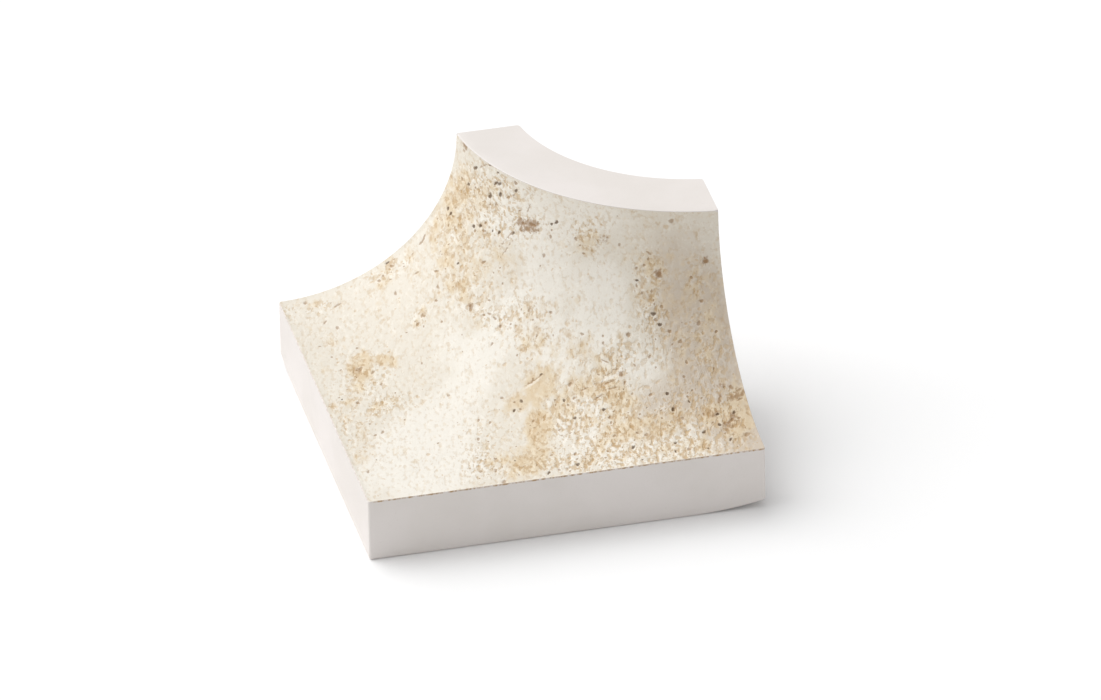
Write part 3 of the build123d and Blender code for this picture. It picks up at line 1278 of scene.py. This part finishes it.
@dataclass
class Graph:
    """Node tree of one procedural material."""

    name: str

    def __post_init__(self) -> None:
        """Start an empty material."""
        self.material = bpy.data.materials.new(self.name)
        self.material.use_nodes = True
        self.tree = self.material.node_tree
        self.tree.nodes.clear()
        self.object_place = self.node("ShaderNodeTexCoord", {}, {}, "Object")

    def node(
        self, kind: str, settings: dict[str, Any], inputs: dict[int | str, Any], output: int | str = 0
    ) -> Wire:
        """Add any node.

        Args:
            kind: The node's type.
            settings: Properties that are set first.
            inputs: Values or links of its sockets, by name or number.
            output: Output to hand on.

        Returns:
            That output, or an empty wire for a node that has none.
        """
        made = self.tree.nodes.new(kind)
        for key, value in settings.items():
            setattr(made, key, value)
        for key, value in inputs.items():
            if isinstance(value, Wire):
                self.tree.links.new(value.socket, made.inputs[key])
            else:
                made.inputs[key].default_value = value
        return Wire(self, made.outputs[output] if made.outputs else None)

    def mark(self, name: str) -> Wire:
        """Value of one of the mesh's marks."""
        return self.node("ShaderNodeAttribute", {"attribute_name": name}, {}, "Fac")

    def blend(self, share: Wire | float, first: Wire | Paint, second: Wire | Paint) -> Wire:
        """Mix two colours.

        Args:
            share: Share of the second.
            first: First colour.
            second: Second colour.

        Returns:
            The mixed colour.
        """
        first, second = (c if isinstance(c, Wire) else linear(c) for c in (first, second))
        settings = {"data_type": "RGBA", "blend_type": "MIX", "clamp_factor": True}
        return self.node("ShaderNodeMix", settings, {0: share, 6: first, 7: second}, 2)

    def noise(self, place: Wire, scale: float, detail: float, rough: float) -> Wire:
        """Cloudy noise.

        Args:
            place: Coordinates.
            scale: Waves per unit.
            detail: Finer layers added.
            rough: Strength of the finer layers.

        Returns:
            Values round 0.5.
        """
        inputs = {"Vector": place, "Scale": scale, "Detail": detail, "Roughness": rough}
        return self.node("ShaderNodeTexNoise", {"noise_dimensions": "3D"}, inputs)

    def map(self, inputs: dict[str, Any]) -> Wire:
        """Turn, stretch and move coordinates."""
        return self.node("ShaderNodeMapping", {"vector_type": "POINT"}, inputs)

    def finish(
        self, colour: Wire, rough: Wire | float, specular: float, bump: Wire | None = None, depth: float = 0.0
    ) -> bpy.types.Material:
        """Close the graph with its shader.

        Args:
            colour: Base colour.
            rough: Roughness.
            specular: Specular level.
            bump: Height of the fine relief, 0 to 1.
            depth: Height in metres that a step from 0 to 1 stands for.

        Returns:
            The material.
        """
        inputs = {"Base Color": colour, "Roughness": rough, "Specular IOR Level": specular}
        if bump is not None:
            relief = {"Strength": 1.0, "Distance": depth, "Height": bump}
            inputs["Normal"] = self.node("ShaderNodeBump", {}, relief)
        shader = self.node("ShaderNodeBsdfPrincipled", {}, inputs)
        self.node("ShaderNodeOutputMaterial", {}, {"Surface": shader})
        return self.material


# finishes


@dataclass(frozen=True)
class TravertineGlaze:
    """Matt glaze printed and pitted like filled travertine, with a painted highlight beside each grain hollow
    and a taupe tone that is partly painted shade.
    """

    cream: Paint = (228, 221, 208)
    pale: Paint = (238, 233, 223)
    sand: Paint = (221, 202, 171)
    ochre: Paint = (204, 172, 127)
    greige: Paint = (202, 176, 138)
    umber: Paint = (182, 146, 98)
    brown: Paint = (158, 124, 88)
    dark: Paint = (106, 82, 56)
    # taupe of the print, used also as painted shade on the right of the upright wall
    shade_taupe: Paint = (203, 189, 172)
    # near white of the pale lips, the glints and the painted highlights
    light: Paint = (250, 246, 237)
    # warm colour of the painted highlights in warm zones
    straw_highlight: Paint = (244, 233, 211)
    specular: float = 0.35
    bump_depth: float = 0.00009
    grain_turn: float = -77.0  # degrees for the coordinates, so that the grain runs 77 from the front toe
    grain_scale: tuple[float, float, float] = (550.0, 1000.0, 900.0)  # units of the grain per metre
    grain_start: tuple[float, float, float] = (3.0, 5.0, 7.0)

    def make(self) -> bpy.types.Material:
        """Build the material.

        Returns:
            The glaze.
        """
        g = Graph("travertine_glaze")
        coarse, ochre, pale = g.mark("coarse"), g.mark("ochre"), g.mark("pale")
        pit, lip, tone, stain = g.mark("pit"), g.mark("lip"), g.mark("tone"), g.mark("stain")

        # stone grain runs through the piece, drawn out along one level direction
        turned = g.map({"Vector": g.object_place, "Rotation": (0.0, 0.0, math.radians(self.grain_turn))})
        stone = g.map({"Vector": turned, "Scale": self.grain_scale, "Location": self.grain_start})
        cloud = g.noise(stone, 0.14, 3.0, 0.55)
        blotch = g.noise(stone, 0.36, 4.0, 0.62)
        mottle = g.noise(stone, 0.8, 3.0, 0.6)
        speck = g.noise(stone, 1.7, 3.0, 0.6)
        colour = g.blend((cloud * 1.6 - 0.8 + pale * 1.2).ease(0.1, 0.9), self.cream, self.pale)
        # taupe zones: partly the print's darker tone, partly painted shade where the wall turns away from the
        # key light
        taupe_and_painted_shade = (g.mark("taupe_and_painted_shade") + (blotch - 0.5) * 0.6).ease(0.0, 0.8)
        colour = g.blend(taupe_and_painted_shade * 0.92, colour, self.shade_taupe)
        warm = ochre * 1.1 + coarse * 0.15 + (blotch - 0.5) * 1.9 + (mottle - 0.5) * 1.8 - pale * 0.4
        colour = g.blend(warm.ease(0.1, 1.0) * 0.88, colour, self.sand)
        colour = g.blend(warm.ease(0.8, 1.8) * 0.5, colour, self.ochre)

        # pressed and printed grain: small dark hollows, each with a painted highlight on the side that the
        # key light would catch
        rough = (coarse + (blotch - 0.45) * 1.1).ease(-0.15, 0.95)
        strength = 0.31 + 0.69 * rough
        limit = 0.6 - 0.06 * rough - (cloud - 0.5) * 0.1
        hollow, hollow_highlight = self._grain(g, stone, 1.35, limit - 0.03, (0.22, -0.33, -0.2), 0.16)
        broad, broad_highlight = self._grain(g, stone, 0.85, limit + 0.01, (0.34, -0.48, -0.3), 0.0)
        # strength of the painted highlights, less where shade is painted
        highlight_strength = strength * (1.0 - 0.6 * taupe_and_painted_shade)
        # colour of the painted highlights, warmer where the face is warm
        bright = g.blend(warm.ease(0.2, 1.0), self.light, self.straw_highlight)
        tint = g.blend((warm * 0.8 + (speck - 0.4) * 1.6).ease(0.0, 1.0), self.sand, self.umber)
        colour = g.blend(broad * (0.34 + 0.66 * strength) * 0.6, colour, tint)
        colour = g.blend(broad_highlight * highlight_strength * 0.45, colour, bright)
        tint = g.blend((warm * 0.8 + (speck - 0.5) * 2.0).ease(0.0, 1.1), self.greige, self.umber)
        colour = g.blend(hollow * strength * 0.72, colour, tint)
        colour = g.blend(hollow_highlight * highlight_strength * 0.6, colour, bright)
        colour = g.blend((g.mark("glint") + (speck - 0.5)).ease(0.1, 0.9) * 0.7, colour, self.light)
        patch = (stain * 1.1 + (speck - 0.5) * 3.2 + (mottle - 0.5) * 1.5).ease(0.3, 1.1)
        colour = g.blend(patch * stain.ease(0.02, 0.3) * 0.8, colour, self.brown)

        # pits: a pale lip, and a ragged lining whose tone goes with the pit
        lining = g.blend(tone.ease(0.1, 0.5), self.ochre, self.brown)
        lining = g.blend(tone.ease(0.55, 0.95), lining, self.dark)
        colour = g.blend(lip * strength * 0.25, colour, self.light)
        grit = g.noise(stone, 2.6, 2.0, 0.6)
        ragged = (pit + (grit - 0.5) * 1.8).ease(0.1, 1.0)
        colour = g.blend(ragged * (0.45 + 0.4 * tone), colour, lining)

        fine = g.noise(stone, 5.0, 2.0, 0.5)
        relief = 1.0 - (hollow * 0.6 + broad * 0.6) * strength + 0.3 * speck + 0.15 * fine
        return g.finish(colour, 0.5 + 0.25 * speck, self.specular, relief, self.bump_depth)

    @staticmethod
    def _level(g: Graph, place: Wire, scale: float, even: float) -> Wire:
        """Height of the grain at a place.

        Args:
            g: Graph of the glaze.
            place: Coordinates of the grain.
            scale: Hollows per unit.
            even: How evenly the hollows are spaced, 0 for free clusters.

        Returns:
            The height.
        """
        free = g.noise(place, scale * (1.0 + even), 2.5, 0.6)
        if not even:
            return free
        cells = g.node("ShaderNodeTexVoronoi", {"feature": "F1"}, {"Vector": place, "Scale": scale})
        return free + (0.5 - cells) * even

    def _grain(
        self, g: Graph, stone: Wire, scale: float, limit: Wire, aside: tuple[float, float, float], even: float
    ) -> tuple[Wire, Wire]:
        """Small slanting hollows and the painted highlight beside each.

        Args:
            g: Graph of the glaze.
            stone: Coordinates of the grain.
            scale: Hollows per unit.
            limit: Level above which there is a hollow.
            aside: Way from a hollow to its painted highlight.
            even: How evenly they are spaced, 0 for free clusters.

        Returns:
            Masks of the hollows and of their painted highlights.
        """
        back = g.node("ShaderNodeVectorMath", {"operation": "SUBTRACT"}, {0: stone, 1: aside})
        hollow = (self._level(g, stone, scale, even) - limit).ease(-0.04, 0.1)
        moved = (self._level(g, back, scale, even) - limit).ease(-0.04, 0.1)
        return hollow, (moved - hollow).top(0.0)


@dataclass(frozen=True)
class FiredBody:
    """Pale unglazed porcelain body, fine grained, with the glaze's broken edge along the toe and a painted
    highlight along the top arris.
    """

    body: Paint = (226, 220, 215)
    clean: Paint = (230, 224, 220)
    fleck: Paint = (216, 208, 201)
    glaze_edge: Paint = (176, 146, 112)
    # lighter colour painted along the top arris as a highlight
    arris: Paint = (242, 238, 235)
    specular: float = 0.3
    bump_depth: float = 0.00003
    edge_heights: tuple[float, float] = (0.0335, 0.0345)  # metres over which the glaze's edge dies out

    def make(self) -> bpy.types.Material:
        """Build the material.

        Returns:
            The fired body.
        """
        g = Graph("fired_porcelain")
        place = g.object_place
        cloud = g.noise(place, 90.0, 3.0, 0.55)
        sand = g.noise(place, 2600.0, 2.0, 0.6)
        colour = g.blend(cloud.ease(0.35, 0.65), self.body, self.clean)
        colour = g.blend(sand.ease(0.6, 0.78) * 0.35, colour, self.fleck)

        # the glaze's broken edge lies under the toe's lip and keeps off the top band
        flat = g.node("ShaderNodeAttribute", {"attribute_name": "pattern"}, {}, "Vector")
        ragged = g.noise(flat, 0.9, 3.0, 0.65)
        along = g.node("ShaderNodeSeparateXYZ", {}, {"Vector": flat}, "X")
        edge = (1.0 - (g.mark("under") + 0.22 * (0.5 - ragged)).ease(0.04, 0.16)) * ragged.ease(0.36, 0.62)
        edge = edge * (0.3 + 0.7 * along.ease(0.0, 2.0))
        height = g.node("ShaderNodeSeparateXYZ", {}, {"Vector": place}, "Z")
        colour = g.blend(edge * (1.0 - height.ease(*self.edge_heights)), colour, self.glaze_edge)
        # painted highlight along the top arris
        colour = g.blend(g.mark("arris") * 0.6, colour, self.arris)
        relief = sand * 0.6 + 0.4 * g.noise(place, 700.0, 2.0, 0.5)
        return g.finish(colour, 0.58 + 0.15 * sand, self.specular, relief, self.bump_depth)


@dataclass(frozen=True)
class StudioFloor:
    """Plain matt white floor."""

    white: Paint = (250, 250, 250)
    bright: Paint = (252, 252, 252)
    rough: float = 0.9

    def make(self) -> bpy.types.Material:
        """Build the material.

        Returns:
            The floor's finish.
        """
        g = Graph("studio_floor")
        colour = g.blend(g.noise(g.object_place, 40.0, 2.0, 0.5), self.white, self.bright)
        return g.finish(colour, self.rough, 0.0)


# studio


@dataclass
class Studio:
    """Pale floor, soft light from the left, and the near-parallel camera of the photograph, in metres."""

    azimuth: float = 12.94
    elevation: float = 30.62
    roll: float = -0.99
    scale: float = 6745.0  # pixels per metre at the tile, in a picture as wide as the photograph
    width: int = 1101
    distance: float = 2.4
    sensor: float = 36.0
    clip_end: float = 20.0
    middle: Vector = field(default_factory=lambda: Vector((0.0, 0.0, 0.015)))
    framing: tuple[float, float] = (0.00459, 0.00067)  # the picture's middle, right of and below the tile's
    sky: float = 0.503
    key_power: float = 53.0
    key_size: float = 2.6
    key_distance: float = 2.2
    key_way: tuple[float, float, float] = (-0.47, 0.42, 0.78)
    floor_reach: float = 3.0
    floor_steps: int = 24

    def floor(self, material: bpy.types.Material) -> None:
        """Lay the floor.

        Args:
            material: Its finish.
        """
        steps, row = self.floor_steps, self.floor_steps + 1
        side = np.linspace(-self.floor_reach, self.floor_reach, row)
        points = [(x, y, 0.0) for y in side for x in side]
        starts = [j * row + i for j in range(steps) for i in range(steps)]
        mesh = bpy.data.meshes.new("studio_floor")
        mesh.from_pydata(points, [], [(k, k + 1, k + row + 1, k + row) for k in starts])
        mesh.materials.append(material)
        floor = bpy.data.objects.new("studio_floor", mesh)
        bpy.context.scene.collection.objects.link(floor)

    def lights(self) -> None:
        """Set an even white surround and one large soft light on the left."""
        world = bpy.data.worlds.new("soft_surround")
        world.use_nodes = True
        background = world.node_tree.nodes["Background"]
        background.inputs["Color"].default_value = (1.0, 1.0, 1.0, 1.0)
        background.inputs["Strength"].default_value = self.sky
        bpy.context.scene.world = world
        key = bpy.data.lights.new("key", "AREA")
        key.shape = "RECTANGLE"
        key.size = key.size_y = self.key_size
        key.energy = self.key_power
        lamp = bpy.data.objects.new("key", key)
        lamp.location = spot = self.middle + self.key_distance * Vector(self.key_way).normalized()
        lamp.rotation_euler = (self.middle - spot).to_track_quat("-Z", "Y").to_euler()
        bpy.context.scene.collection.objects.link(lamp)

    def camera(self) -> None:
        """Set the camera by the angles fitted to the photograph."""
        a, e, roll = (math.radians(v) for v in (self.azimuth, self.elevation, self.roll))
        right = Vector((math.cos(a), -math.sin(a), 0.0))
        ahead = Vector((math.sin(a) * math.cos(e), math.cos(a) * math.cos(e), -math.sin(e)))
        up = right.cross(ahead)
        turned = math.cos(roll) * right + math.sin(roll) * up
        up = -math.sin(roll) * right + math.cos(roll) * up
        right = turned
        aim = self.middle + right * self.framing[0] - up * self.framing[1]
        lens = bpy.data.cameras.new("camera")
        lens.sensor_width = self.sensor
        lens.lens = self.sensor * self.scale * self.distance / self.width
        lens.clip_end = self.clip_end
        camera = bpy.data.objects.new("camera", lens)
        basis = Matrix((right, up, -ahead)).transposed()
        camera.matrix_world = Matrix.Translation(aim - ahead * self.distance) @ basis.to_4x4()
        bpy.context.scene.collection.objects.link(camera)
        bpy.context.scene.camera = camera

    def build(self) -> None:
        """Set up floor, light, camera and a plain display of colours."""
        self.floor(StudioFloor().make())
        self.lights()
        self.camera()
        view = bpy.context.scene.view_settings
        view.view_transform = "Standard"
        view.look = "None"
        view.exposure = 0.0
        view.gamma = 1.0


def main() -> None:
    """Build the studio and the tile, and report each piece."""
    Studio().build()
    tile = CornerTile()
    piece = tile.build(TravertineGlaze().make(), FiredBody().make())
    log.info("%s: %d triangles, %d pits", piece.name, len(piece.data.polygons), len(tile.stone.pits))


if __name__ == "__main__":
    main()
